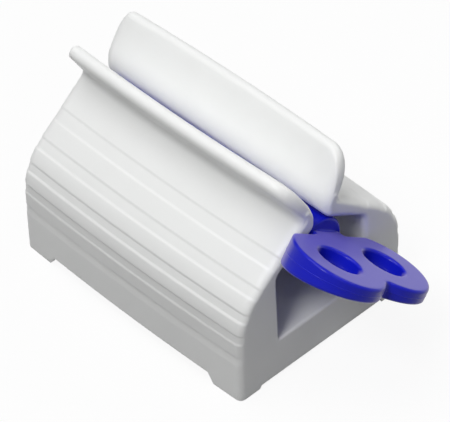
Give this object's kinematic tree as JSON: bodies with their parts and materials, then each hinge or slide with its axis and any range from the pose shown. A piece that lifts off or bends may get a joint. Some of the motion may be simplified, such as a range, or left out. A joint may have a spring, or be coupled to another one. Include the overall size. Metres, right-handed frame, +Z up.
{
  "type": "toothpaste tube squeezer",
  "caption": "Free-standing tube squeezer: a ribbed housing with flared lips over a slot, and a split winding key with finger rings.",
  "frame": {"origin": "on the table under the middle of the whole object, handle included", "axes": "+X along the key's shaft towards the handle, +Y across the housing, +Z up"},
  "size_m": [0.111, 0.0624, 0.061],
  "materials": {
    "housing_white": "semi-gloss moulded white",
    "key_blue": "glossy moulded royal blue"
  },
  "bodies": {
    "base": {"housing": "housing_white"},
    "key": {"winding_key": "key_blue"}
  },
  "joints": [
    {"name": "key_turn", "type": "hinge", "parent": "base", "child": "key", "pos_m": [0.0283, 0, 0.0358], "axis": [1, 0, 0], "continuous": true}
  ]
}
